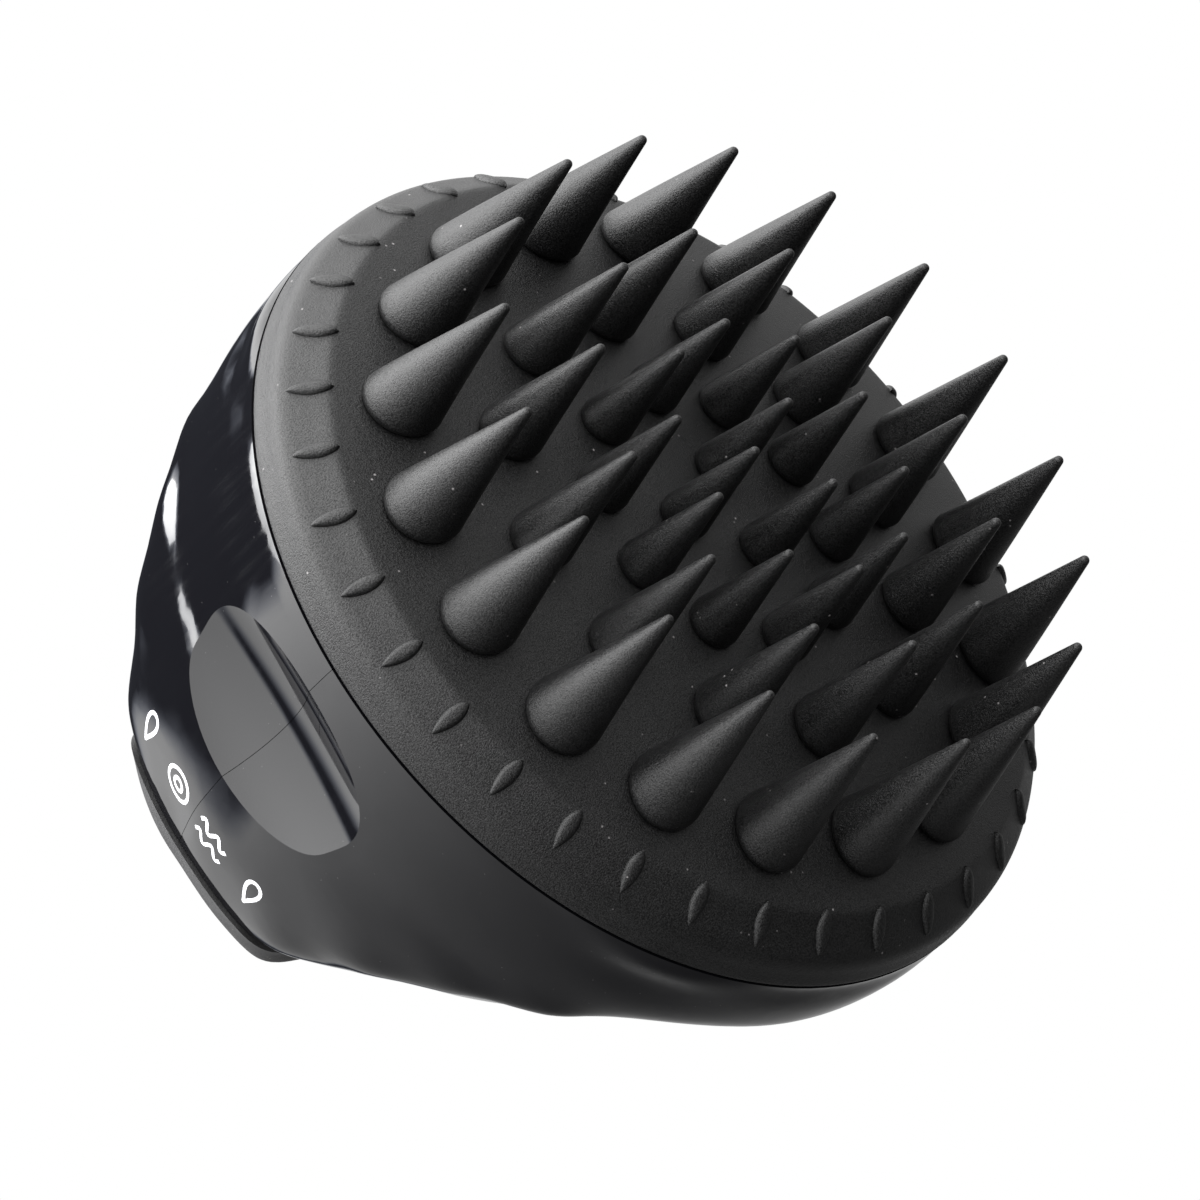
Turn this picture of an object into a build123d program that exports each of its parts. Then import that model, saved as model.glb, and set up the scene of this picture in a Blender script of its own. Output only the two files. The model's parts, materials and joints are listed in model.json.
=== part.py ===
from build123d import *
import os
from math import asin, cos, degrees, hypot, radians, sin

# Vibrating scalp massager: bristle head below, pinch-grip handle above.
# Millimetres, +Z up, origin at the centre of the plane through the bristle tips.
# X runs along the seam of the handle, so the two finger dimples are at +X and -X.

# ---- driving dimensions ---------------------------------------------------------------
rim_radius = 45.2          # outside of the head and of the foot of the handle
joint_z = 26.0             # joint between head and handle
crown_z = 74.5             # top of the hard shells
crown_radius = 11.3
wall = 2.0                 # shell thickness
post_cover = 1.3           # shell left over the ends of the roof posts
mouth_radius = 42.9        # inside of the handle's foot
seam_gap = 0.06            # between the two shells
wing_blend = 8.6           # half width of the blend from wing to scoop, degrees
section_points = 36

# Handle sections: height, radius along the seam, depth of the side scoops, wing half angle
handle_levels = [
    (joint_z, rim_radius, 0.0, 58.0),
    (29.0, 45.2, 0.0, 58.0),
    (32.0, 45.2, 0.2, 58.0),
    (35.0, 45.1, 0.9, 59.5),
    (37.5, 44.9, 2.4, 58.3),
    (39.5, 44.8, 4.6, 56.6),
    (41.5, 44.9, 6.8, 51.6),
    (44.0, 44.8, 8.4, 44.5),
    (47.5, 44.2, 9.4, 39.8),
    (52.0, 43.0, 10.8, 33.3),
    (57.0, 40.6, 11.0, 28.9),
    (61.5, 37.8, 11.0, 24.0),
    (65.3, 33.6, 9.6, 26.7),
    (68.6, 27.8, 6.8, 28.1),
    (71.3, 21.6, 4.5, 28.2),
    (73.2, 16.1, 3.0, 28.2),
    (crown_z, crown_radius, 1.8, 28.2),
]

dimple_z = 37.9
dimple_bottom = 42.4       # distance of the dimple's deepest point from the axis
dimple_round = 13.2        # radius of the dimple across
dimple_length = 41.0       # half length of the spheroid that cuts it
dimple_backing = 40.5      # flat inner face behind each dimple

strip_width = 28.0
strip_end_z = 59.5
strip_proud = 0.5
strip_seat = 0.5
strip_corner = 5.0

field_z = 13.58            # lowest point of the domed field between the bristles
field_sphere = 169.0       # the field is a cap of this radius
field_radius = 40.6
pad_thickness = 2.0
band_middle = (42.6, 20.0)  # sloping band with the ribs: radius and height half way up it
band_top = (44.3, 21.7)
shoulder_top = (44.95, 23.2)
band_angle = 45.0
skirt_thickness = 2.2
lip_radius = 40.5
bristle_rings = [          # count, ring radius, tip height, base radius, first angle
    (18, 34.0, 0.0, 3.85, -4.04),
    (12, 23.2, 0.0, 3.15, 6.27),
    (10, 13.9, 1.5, 2.7, -12.64),
    (3, 5.3, 1.5, 2.6, 4.69),
]
bristle_root = 0.9         # how far a bristle goes into the pad
nib_radius = 0.55
rib_count = 36
rib_length = 4.6
rib_width = 1.6
rib_height = 0.45
rib_first_angle = -3.5

plate_top_z = 23.9
back_radius = 39.8         # edge of the pad's domed back
back_corner_z = 23.2
skirt_inner = rim_radius - skirt_thickness
post_circle = 39.0         # radius of the screws that hold the pad ring
head_screw_angle = 0.0
screw_hole = 1.0
screw_shank = 0.95
spigot_outer = 35.6
spigot_inner = 33.8
spigot_top_z = 33.1
lug_count = 3
lug_sweep = 36.0
lug_gap = 0.3
ring_outer = 40.3
ring_inner = 37.5
ring_z = 29.2
ring_top_z = 34.0
ear_circle = 40.2
ear_angle = 30.0
ear_radius = 2.4
boss_height = 2.4
boss_radius = 2.9
seal_section = 0.8

deck_z = 41.2              # underside of the chassis deck
deck_thickness = 1.8
deck_length = 70.0
deck_width = 33.0
post_x = 31.5
post_y = 8.0

cell_radius = 5.25
cell_length = 43.5
cell_y = 5.6
cell_z = 35.3
nub_length = 1.0

motor_radius = 10.2
motor_half_height = 7.7
motor_z = 53.2
motor_back_x = -14.0
motor_front_x = 11.0
shaft_radius = 1.0
shaft_end_x = 20.0
weight_radius = 8.0
weight_x = 13.0
weight_length = 6.0

button_radius = 6.4
button_top_z = 74.7
flange_radius = 8.2
flange_z = 70.7
flange_top_z = 71.8
board_z = 63.4
button_seal_z = 73.15
button_seal_radius = 6.85
button_seal_section = 0.38
board_thickness = 1.2
switch_height = 3.4
plunger_top_z = 68.9
board_post_x = 9.5
board_post_y = 5.0

os.makedirs("parts", exist_ok=True)


def write(piece, name):
    piece.label = name
    export_step(piece, f"parts/{name}.step")


def polar(radius, angle):
    return (radius * cos(radians(angle)), radius * sin(radians(angle)))


def ring_sector(inner, outer, middle, sweep):
    """Face between two radii over part of a turn."""
    low = middle - sweep / 2
    high = middle + sweep / 2
    with BuildSketch(mode=Mode.PRIVATE) as sector:
        with BuildLine():
            ThreePointArc(polar(inner, low), polar(inner, middle), polar(inner, high))
            Line(polar(inner, high), polar(outer, high))
            ThreePointArc(polar(outer, high), polar(outer, middle), polar(outer, low))
            Line(polar(outer, low), polar(inner, low))
        make_face()
    return sector.sketch


def smooth(value):
    value = min(max(value, 0.0), 1.0)
    return value * value * (3 - 2 * value)


def section_radius(level, grow, angle):
    """Distance of the handle's surface from the axis, at an angle from the seam plane."""
    seam_radius, scoop, wing = level[1:]
    fold = abs((angle + 90.0) % 180.0 - 90.0)
    share = smooth((fold - wing + wing_blend) / (2 * wing_blend))
    return seam_radius + grow - scoop * share


def grown_levels(grow):
    """The handle's sections moved outwards along the seam profile's normal."""
    moved = []
    last = len(handle_levels) - 1
    for i, (height, radius, scoop, wing) in enumerate(handle_levels):
        low = handle_levels[max(i - 1, 0)]
        high = handle_levels[min(i + 1, last)]
        rise = high[0] - low[0]
        run = low[1] - high[1]
        lift = grow * run / hypot(rise, run) if i else 0.0
        if i == last:
            lift = grow
        push = grow * rise / hypot(rise, run)
        moved.append(((height + lift, radius, scoop, wing), push))
    return moved


def handle_form(grow):
    """Solid inside the handle's outer surface moved outwards by grow."""
    with BuildPart() as form:
        for level, push in grown_levels(grow):
            with BuildSketch(Plane.XY.offset(level[0])):
                with BuildLine():
                    points = []
                    for i in range(section_points):
                        angle = 360.0 * i / section_points
                        radius = section_radius(level, push, angle)
                        points.append(polar(radius, angle))
                    Spline(*points, periodic=True)
                make_face()
        loft()
    return form.part


outer_form = handle_form(0.0)
inner_form = handle_form(-wall)
seat_form = handle_form(-strip_seat)
strip_form = handle_form(strip_proud)


def strip_slab(spread):
    """Straight band over the crown, round-cornered at its two lower ends."""
    with BuildPart() as slab:
        with BuildSketch(Plane.YZ):
            with Locations((0, strip_end_z - spread)):
                outline = Rectangle(strip_width + 2 * spread, 30.0, align=(Align.CENTER, Align.MIN))
            fillet(outline.vertices().group_by(Axis.Y)[0], strip_corner)
        extrude(amount=60.0, both=True)
    return slab.part


# ---- grip strip -----------------------------------------------------------------------
with BuildPart() as grip_strip:
    add(strip_slab(0.0))
    add(strip_form, mode=Mode.INTERSECT)
    add(seat_form, mode=Mode.SUBTRACT)
    with BuildSketch(Plane.XY.offset(crown_z - 5)):
        Circle(button_radius + 0.3)
    extrude(amount=10.0, mode=Mode.SUBTRACT)
write(grip_strip.part, "grip_strip")

# ---- handle shells --------------------------------------------------------------------
with BuildPart() as strip_seat_cut:
    add(strip_slab(0.12))
    add(handle_form(-strip_seat - 0.1), mode=Mode.SUBTRACT)

with BuildPart() as cavity:
    add(inner_form)
    with BuildSketch(Plane.XY.offset(joint_z - 1)):
        Circle(mouth_radius)
    extrude(amount=1.5)
    with BuildSketch(Plane.XY.offset(joint_z - 1)):
        Rectangle(2 * dimple_backing, 3 * rim_radius)
    extrude(amount=60.0, mode=Mode.INTERSECT)
    with BuildSketch(Plane.XY.offset(joint_z - 1)):
        Circle(mouth_radius)
    extrude(amount=3.6)

with BuildPart() as dimple:
    for side in (-1, 1):
        with BuildSketch(Plane.XY.offset(dimple_z)):
            with Locations((side * (dimple_bottom + dimple_round), 0)):
                Ellipse(dimple_round, dimple_length)
            with Locations((side * (dimple_bottom + 1.5 * dimple_round), 0)):
                Rectangle(dimple_round, 3 * dimple_length, mode=Mode.SUBTRACT)
            with Locations((side * (dimple_bottom + 3.5 * dimple_round), 0)):
                Rectangle(3 * dimple_round, 3 * dimple_length, mode=Mode.SUBTRACT)
        centre = (side * (dimple_bottom + dimple_round), 0, dimple_z)
        revolve(axis=Axis(centre, (0, 1, 0)))

with BuildPart() as roof_posts:
    with BuildSketch(Plane.XY.offset(deck_z + deck_thickness + 0.05)):
        with GridLocations(2 * post_x, 2 * post_y, 2, 2):
            Circle(2.6)
    extrude(amount=30.0)
    with BuildSketch(Plane.XY.offset(board_z + board_thickness + 0.05)):
        with GridLocations(2 * board_post_x, 2 * board_post_y, 2, 2):
            Circle(1.9)
    extrude(amount=20.0)
    add(handle_form(-post_cover), mode=Mode.INTERSECT)

with BuildPart() as shells:
    add(outer_form)
    add(dimple.part, mode=Mode.SUBTRACT)
    add(strip_seat_cut.part, mode=Mode.SUBTRACT)
    add(cavity.part, mode=Mode.SUBTRACT)
    # bosses for the bayonet ring
    with BuildSketch(Plane.XY.offset(ring_top_z + 0.1)):
        with PolarLocations(ear_circle, 6, start_angle=ear_angle):
            Circle(boss_radius)
    extrude(amount=boss_height)
    add(roof_posts.part)
    # screw holes in bosses and posts
    with BuildSketch(Plane.XY.offset(ring_top_z)):
        with PolarLocations(ear_circle, 6, start_angle=ear_angle):
            Circle(1.0)
    extrude(amount=boss_height, mode=Mode.SUBTRACT)
    with BuildSketch(Plane.XY.offset(deck_z)):
        with GridLocations(2 * post_x, 2 * post_y, 2, 2):
            Circle(1.0)
    extrude(amount=10.0, mode=Mode.SUBTRACT)
    with BuildSketch(Plane.XY.offset(board_z)):
        with GridLocations(2 * board_post_x, 2 * board_post_y, 2, 2):
            Circle(screw_hole)
    extrude(amount=5.5, mode=Mode.SUBTRACT)
    # button well in the crown, with a groove for its ring seal
    with BuildSketch(Plane.XY.offset(crown_z - 5)):
        Circle(button_radius + 0.15)
    extrude(amount=10.0, mode=Mode.SUBTRACT)
    with BuildSketch(Plane.XY.offset(button_seal_z - 0.4)):
        Circle(button_seal_radius + 0.45)
    extrude(amount=0.8, mode=Mode.SUBTRACT)

half_box = 60.0
for name, side in (("housing_front", -1), ("housing_rear", 1)):
    with BuildPart() as shell:
        add(shells.part)
        with BuildSketch(Plane.XY.offset(joint_z - 5)):
            with Locations((0, side * (half_box / 2 + seam_gap / 2))):
                Rectangle(2 * half_box, half_box)
        extrude(amount=2 * half_box, mode=Mode.INTERSECT)
    write(shell.part, name)

# ---- bristle pad ----------------------------------------------------------------------


def field_height(radius):
    return field_z + field_sphere - (field_sphere ** 2 - radius ** 2) ** 0.5


def dome_arc(lift, radius):
    """Arc from the axis out to a radius, concentric with the field and lift above it."""
    size = field_sphere - lift
    return CenterArc((0, field_z + field_sphere), size, -90.0, degrees(asin(radius / size)))


def bristle_form(tip_z, root_z, base):
    """One bristle on the axis: long cone with a small rounded nib."""
    nib_top = (nib_radius * 1.25, tip_z + nib_radius * 2.2)
    with BuildPart() as bristle:
        with BuildSketch(Plane.XZ):
            with BuildLine():
                nib_side = (nib_radius * 0.8, tip_z + nib_radius * 0.6)
                Spline((0, tip_z), nib_side, nib_top, tangents=((1, 0), (0.22, 1)))
                Polyline(nib_top, (base, root_z), (base, root_z + bristle_root), (0, root_z + bristle_root), (0, tip_z))
            make_face()
        revolve(axis=Axis.Z)
    return bristle.part


band_out = (cos(radians(band_angle)), 0, sin(radians(band_angle)))
band_normal = (sin(radians(band_angle)), 0, -cos(radians(band_angle)))
band_plane = Plane((band_middle[0], 0, band_middle[1]), x_dir=band_out, z_dir=band_normal)
with BuildPart() as rib:
    with BuildSketch(band_plane):
        with BuildLine():
            inner_tip = (-rib_length / 2, 0)
            outer_tip = (rib_length / 2, 0)
            ThreePointArc(inner_tip, (0, rib_width / 2), outer_tip)
            ThreePointArc(outer_tip, (0, -rib_width / 2), inner_tip)
        make_face()
    extrude(amount=rib_height)
    extrude(rib.faces().sort_by(Axis.Z)[-1], amount=1.0)

with BuildPart() as bristle_pad:
    with BuildSketch(Plane.XZ):
        with BuildLine():
            field = dome_arc(0.0, field_radius)
            Spline(field @ 1, band_middle, band_top, shoulder_top, tangents=(field % 1, (0.05, 1)))
            back = dome_arc(pad_thickness, back_radius)
            Polyline(
                shoulder_top,
                (rim_radius, joint_z - 0.1),
                (lip_radius, joint_z - 0.1),
                (lip_radius, plate_top_z + 0.05),
                (skirt_inner, plate_top_z + 0.05),
                (skirt_inner, back_corner_z),
                back @ 1,
            )
            Line(back @ 0, field @ 0)
        make_face()
    revolve(axis=Axis.Z)
    for count, ring, tip_z, base, first in bristle_rings:
        bristle = bristle_form(tip_z, field_height(ring), base)
        with PolarLocations(ring, count, start_angle=first):
            add(bristle)
    with PolarLocations(0.0, rib_count, start_angle=rib_first_angle):
        add(rib.part)
write(bristle_pad.part, "bristle_pad")

# ---- base plate with the bayonet spigot ------------------------------------------------
lug_z = ring_z + 2.1
plate_radius = rim_radius - skirt_thickness - 0.1
plate_gap = 0.1
plate_thickness = 2.2
post_outer = 40.4
with BuildPart() as base_plate:
    with BuildSketch(Plane.XZ):
        with BuildLine():
            under = dome_arc(pad_thickness + plate_gap, back_radius - 0.1)
            top = dome_arc(pad_thickness + plate_gap + plate_thickness, spigot_inner)
            Polyline(
                under @ 1,
                (plate_radius, back_corner_z + plate_gap),
                (plate_radius, plate_top_z),
                (post_outer, plate_top_z),
                (post_outer, joint_z - 0.1),
                (spigot_outer, joint_z - 0.1),
                (spigot_outer, spigot_top_z),
                (spigot_inner, spigot_top_z),
                top @ 1,
            )
            Line(top @ 0, under @ 0)
        make_face()
    revolve(axis=Axis.Z)
    with BuildSketch(Plane.XY.offset(lug_z)):
        for i in range(lug_count):
            add(ring_sector(spigot_outer - 0.5, ring_inner - lug_gap, 90.0 + 360.0 * i / lug_count, lug_sweep))
    extrude(amount=spigot_top_z - lug_z)
    with BuildSketch(Plane.XY.offset(joint_z - 0.1)):
        with PolarLocations(post_circle, 6, start_angle=head_screw_angle):
            Circle(screw_hole)
    extrude(amount=-2.7, mode=Mode.SUBTRACT)
write(base_plate.part, "base_plate")

# ---- pad ring: clamps the pad's lip to the base plate -----------------------------------
pad_ring_top = joint_z + 1.4
with BuildPart() as pad_ring:
    with BuildSketch(Plane.XY.offset(joint_z - 0.05)):
        Circle(mouth_radius - 0.4)
        Circle(spigot_outer + 0.2, mode=Mode.SUBTRACT)
    extrude(amount=pad_ring_top - joint_z + 0.05)
    chamfer(pad_ring.edges().group_by(Axis.Z)[-1], 0.3)
    with BuildSketch(Plane.XY.offset(joint_z - 0.05)):
        with PolarLocations(post_circle, 6, start_angle=head_screw_angle):
            Circle(screw_hole + 0.1)
    extrude(amount=3.0, mode=Mode.SUBTRACT)
    with BuildSketch(Plane.XY.offset(pad_ring_top - 0.9)):
        with PolarLocations(post_circle, 6, start_angle=head_screw_angle):
            Circle(1.9)
    extrude(amount=3.0, mode=Mode.SUBTRACT)
write(pad_ring.part, "pad_ring")

with BuildPart() as pad_ring_screws:
    with BuildSketch(Plane.XY.offset(pad_ring_top - 0.85)):
        with PolarLocations(post_circle, 6, start_angle=head_screw_angle):
            Circle(1.75)
    extrude(amount=0.8)
    with BuildSketch(Plane.XY.offset(pad_ring_top - 0.85)):
        with PolarLocations(post_circle, 6, start_angle=head_screw_angle):
            Circle(screw_shank)
    extrude(amount=-3.1)
    with BuildSketch(Plane.XY.offset(pad_ring_top - 0.05)):
        with PolarLocations(post_circle, 6, start_angle=head_screw_angle):
            Rectangle(1.8, 0.35)
            Rectangle(0.35, 1.8)
    extrude(amount=-0.45, mode=Mode.SUBTRACT)
write(pad_ring_screws.part, "pad_ring_screws")

# ---- head seal -------------------------------------------------------------------------
seal_ring = spigot_outer + seal_section + 0.1
with BuildPart() as head_seal:
    with BuildSketch(Plane.XZ):
        with Locations((seal_ring, pad_ring_top + seal_section + 0.05)):
            Circle(seal_section)
    revolve(axis=Axis.Z)
write(head_seal.part, "head_seal")

# ---- bayonet ring: ties the two shells together and takes the head -----------------------
stop_sweep = 4.0
with BuildPart() as bayonet_ring:
    with BuildSketch(Plane.XY.offset(ring_z)):
        Circle(ring_outer)
        with PolarLocations(ear_circle, 6, start_angle=ear_angle):
            Circle(ear_radius)
        Circle(ring_inner, mode=Mode.SUBTRACT)
    extrude(amount=ring_top_z - ring_z)
    with BuildSketch(Plane.XY.offset(ring_z)):
        for i in range(lug_count):
            add(ring_sector(spigot_outer + lug_gap, ring_inner + 0.5, 90.0 + 360.0 * i / lug_count, lug_sweep))
    extrude(amount=lug_z - lug_gap - ring_z)
    with BuildSketch(Plane.XY.offset(ring_z)):
        for i in range(lug_count):
            stop_angle = 90.0 + 360.0 * i / lug_count + lug_sweep / 2 + stop_sweep / 2 + 0.6
            add(ring_sector(spigot_outer + lug_gap, ring_inner + 0.5, stop_angle, stop_sweep))
    extrude(amount=spigot_top_z - ring_z)
    with BuildSketch(Plane.XY.offset(ring_z)):
        with PolarLocations(ear_circle, 6, start_angle=ear_angle):
            Circle(screw_hole + 0.1)
    extrude(amount=8.0, mode=Mode.SUBTRACT)
    with BuildSketch(Plane.XY.offset(ring_z)):
        with PolarLocations(ear_circle, 6, start_angle=ear_angle):
            Circle(1.8)
    extrude(amount=1.4, mode=Mode.SUBTRACT)
write(bayonet_ring.part, "bayonet_ring")

with BuildPart() as bayonet_screws:
    with BuildSketch(Plane.XY.offset(ring_z + 0.1)):
        with PolarLocations(ear_circle, 6, start_angle=ear_angle):
            Circle(1.7)
    extrude(amount=1.25)
    with BuildSketch(Plane.XY.offset(ring_z + 1.35)):
        with PolarLocations(ear_circle, 6, start_angle=ear_angle):
            Circle(screw_shank)
    extrude(amount=ring_top_z + boss_height - ring_z - 1.6)
    with BuildSketch(Plane.XY.offset(ring_z + 0.1)):
        with PolarLocations(ear_circle, 6, start_angle=ear_angle):
            Rectangle(1.8, 0.35)
            Rectangle(0.35, 1.8)
    extrude(amount=0.5, mode=Mode.SUBTRACT)
write(bayonet_screws.part, "bayonet_screws")

# ---- chassis: deck, battery tray below, motor cradle above -------------------------------
deck_top = deck_z + deck_thickness
tray_half = 26.0
tray_wall = 1.3
tray_inner_y = 11.1
cradle_x = (-9.0, 6.0)
wire_slot_x = -27.6
wire_y = 6.0
wire_z = 39.2
clamp_foot_y = 13.4
with BuildPart() as chassis:
    with BuildSketch(Plane.XY.offset(deck_z)):
        RectangleRounded(deck_length, deck_width, 4.0)
    extrude(amount=deck_thickness)
    # battery tray
    with BuildSketch(Plane.XY.offset(deck_z)):
        Rectangle(2 * tray_half, 2 * (tray_inner_y + tray_wall))
        Rectangle(2 * (tray_half - tray_wall), 2 * tray_inner_y, mode=Mode.SUBTRACT)
    extrude(amount=-10.0)
    with BuildSketch(Plane.XY.offset(deck_z)):
        Rectangle(30.0, 0.8)
    extrude(amount=-2.2)
    # motor cradle
    with BuildSketch(Plane.XY.offset(deck_top)):
        for x in cradle_x:
            with Locations((x, 0)):
                Rectangle(2.0, 25.0)
    extrude(amount=8.0)
    with BuildSketch(Plane.YZ.offset(cradle_x[0] - 2)):
        with Locations((0, motor_z)):
            Rectangle(2 * motor_radius + 0.2, 2 * motor_half_height + 0.2)
    extrude(amount=20.0, mode=Mode.SUBTRACT)
    # bosses for the motor clamp
    with BuildSketch(Plane.XY.offset(deck_top)):
        with GridLocations(0.0, 2 * clamp_foot_y, 1, 2):
            Circle(2.0)
    extrude(amount=2.6)
    # screw holes and wire slots
    with BuildSketch(Plane.XY.offset(deck_z)):
        with GridLocations(2 * post_x, 2 * post_y, 2, 2):
            Circle(screw_hole + 0.1)
        with GridLocations(0.0, 2 * clamp_foot_y, 1, 2):
            Circle(screw_hole)
        with Locations((wire_slot_x, 0)):
            RectangleRounded(1.8, 15.0, 0.8)
    extrude(amount=6.0, mode=Mode.SUBTRACT)
    with BuildSketch(Plane.YZ.offset(-tray_half - 1)):
        with GridLocations(2 * wire_y, 0.0, 2, 1):
            with Locations((0, wire_z)):
                Circle(1.2)
    extrude(amount=3.0, mode=Mode.SUBTRACT)
write(chassis.part, "chassis")

with BuildPart() as chassis_screws:
    with BuildSketch(Plane.XY.offset(deck_z - 0.05)):
        with GridLocations(2 * post_x, 2 * post_y, 2, 2):
            Circle(1.7)
    extrude(amount=-1.2)
    with BuildSketch(Plane.XY.offset(deck_z - 0.05)):
        with GridLocations(2 * post_x, 2 * post_y, 2, 2):
            Circle(screw_shank)
    extrude(amount=8.0)
    with BuildSketch(Plane.XY.offset(deck_z - 1.25)):
        with GridLocations(2 * post_x, 2 * post_y, 2, 2):
            Rectangle(1.8, 0.35)
            Rectangle(0.35, 1.8)
    extrude(amount=0.5, mode=Mode.SUBTRACT)
write(chassis_screws.part, "chassis_screws")

# ---- cells and contacts ------------------------------------------------------------------
plate_face = tray_half - tray_wall - 0.35
cell_end = plate_face - 0.05
for name, side in (("battery_a", 1), ("battery_b", -1)):
    with BuildPart() as cell:
        start = Plane((side * (cell_end - nub_length), side * cell_y, cell_z), x_dir=(0, 1, 0), z_dir=(-side, 0, 0))
        with BuildSketch(start):
            Circle(cell_radius)
        extrude(amount=cell_length)
        fillet(cell.edges().filter_by(GeomType.CIRCLE), 0.4)
        with BuildSketch(start):
            Circle(1.9)
        extrude(amount=-nub_length)
    write(cell.part, name)

spring_start = cell_end - nub_length - cell_length
spring_wire = 0.3
with BuildPart() as battery_springs:
    for side in (1, -1):
        foot = (-side * (abs(spring_start) + spring_wire + 0.05), side * cell_y, cell_z)
        span = plate_face - abs(spring_start) - 2 * spring_wire - 0.15
        with BuildLine():
            coil = Helix(pitch=span / 3, height=span, radius=2.8, center=foot, direction=(-side, 0, 0))
        with BuildSketch(Plane(coil @ 0, z_dir=coil % 0)):
            Circle(spring_wire)
        sweep(path=coil)
write(battery_springs.part, "battery_springs")

with BuildPart() as battery_contacts:
    with BuildSketch(Plane.YZ.offset(plate_face)):
        with Locations((0, cell_z)):
            RectangleRounded(20.5, 8.0, 1.0)
    extrude(amount=0.3)
    with BuildSketch(Plane.YZ.offset(-plate_face)):
        with GridLocations(2 * cell_y, 0.0, 2, 1):
            with Locations((0, cell_z + 0.4)):
                RectangleRounded(9.0, 9.6, 1.0)
    extrude(amount=-0.3)
write(battery_contacts.part, "battery_contacts")

# ---- motor -------------------------------------------------------------------------------
terminal_y = 5.0
with BuildPart() as motor:
    with BuildSketch(Plane.YZ.offset(motor_back_x)):
        with Locations((0, motor_z)):
            Circle(motor_radius)
            Rectangle(3 * motor_radius, 2 * motor_half_height, mode=Mode.INTERSECT)
    extrude(amount=motor_front_x - motor_back_x)
    fillet(motor.edges().group_by(Axis.X)[0] + motor.edges().group_by(Axis.X)[-1], 0.8)
    with BuildSketch(Plane.YZ.offset(motor_back_x - 1.5)):
        with Locations((0, motor_z)):
            Circle(3.0)
    extrude(amount=motor_front_x - motor_back_x + 2.7)
    with BuildSketch(Plane.YZ.offset(motor_back_x - 2.0)):
        with GridLocations(2 * terminal_y, 0.0, 2, 1):
            with Locations((0, motor_z)):
                Rectangle(0.5, 2.0)
    extrude(amount=3.0)
    with BuildSketch(Plane.YZ.offset(motor_back_x - 2.5)):
        with Locations((0, motor_z)):
            Circle(shaft_radius + 0.05)
    extrude(amount=motor_front_x - motor_back_x + 6.0, mode=Mode.SUBTRACT)
write(motor.part, "motor")

with BuildPart() as motor_shaft:
    with BuildSketch(Plane.YZ.offset(motor_back_x - 1.2)):
        with Locations((0, motor_z)):
            Circle(shaft_radius)
    extrude(amount=shaft_end_x - motor_back_x + 1.2)
    chamfer(motor_shaft.edges().group_by(Axis.X)[-1], 0.2)
write(motor_shaft.part, "motor_shaft")

with BuildPart() as eccentric_weight:
    with BuildSketch(Plane.YZ.offset(weight_x)):
        with Locations((0, motor_z)):
            Circle(weight_radius)
        with Locations((0, motor_z + weight_radius)):
            Rectangle(2 * weight_radius, 2 * weight_radius, mode=Mode.SUBTRACT)
        with Locations((0, motor_z)):
            Circle(2.6)
            Circle(shaft_radius + 0.01, mode=Mode.SUBTRACT)
    extrude(amount=weight_length)
    chamfer(eccentric_weight.edges().group_by(Axis.X)[-1].sort_by(Edge.length)[-1], 0.4)
write(eccentric_weight.part, "eccentric_weight")

strap_thickness = 1.2
strap_foot_z = deck_top + 2.65
strap_inner_y = motor_radius + 0.15
strap_inner_z = motor_z + motor_half_height + 0.1
strap_foot_y = clamp_foot_y + 2.2
with BuildPart() as motor_clamp:
    with BuildSketch(Plane.YZ.offset(-2.5)):
        with Locations((0, strap_foot_z)):
            Rectangle(
                2 * (strap_inner_y + strap_thickness),
                strap_inner_z + strap_thickness - strap_foot_z,
                align=(Align.CENTER, Align.MIN),
            )
            Rectangle(2 * strap_foot_y, strap_thickness, align=(Align.CENTER, Align.MIN))
            Rectangle(
                2 * strap_inner_y,
                strap_inner_z - strap_foot_z,
                align=(Align.CENTER, Align.MIN),
                mode=Mode.SUBTRACT,
            )
    extrude(amount=5.0)
    fillet(motor_clamp.edges().filter_by(Axis.X).group_by(Axis.Z)[-1], 1.0)
    with BuildSketch(Plane.XY.offset(strap_foot_z - 1)):
        with GridLocations(0.0, 2 * clamp_foot_y, 1, 2):
            Circle(screw_hole + 0.1)
    extrude(amount=3.0, mode=Mode.SUBTRACT)
write(motor_clamp.part, "motor_clamp")

clamp_head_z = strap_foot_z + strap_thickness + 0.05
with BuildPart() as motor_clamp_screws:
    with BuildSketch(Plane.XY.offset(clamp_head_z)):
        with GridLocations(0.0, 2 * clamp_foot_y, 1, 2):
            Circle(1.6)
    extrude(amount=1.1)
    with BuildSketch(Plane.XY.offset(clamp_head_z)):
        with GridLocations(0.0, 2 * clamp_foot_y, 1, 2):
            Circle(screw_shank)
    extrude(amount=-5.4)
    with BuildSketch(Plane.XY.offset(clamp_head_z + 1.1)):
        with GridLocations(0.0, 2 * clamp_foot_y, 1, 2):
            Rectangle(1.8, 0.35)
            Rectangle(0.35, 1.8)
    extrude(amount=-0.5, mode=Mode.SUBTRACT)
write(motor_clamp_screws.part, "motor_clamp_screws")

# ---- switch and button -------------------------------------------------------------------
board_top = board_z + board_thickness
switch_top = board_top + switch_height
with BuildPart() as switch_board:
    with BuildSketch(Plane.XY.offset(board_z)):
        RectangleRounded(26.0, 15.0, 1.5)
        with GridLocations(2 * board_post_x, 2 * board_post_y, 2, 2):
            Circle(screw_hole + 0.1, mode=Mode.SUBTRACT)
    extrude(amount=board_thickness)
write(switch_board.part, "switch_board")

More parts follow.
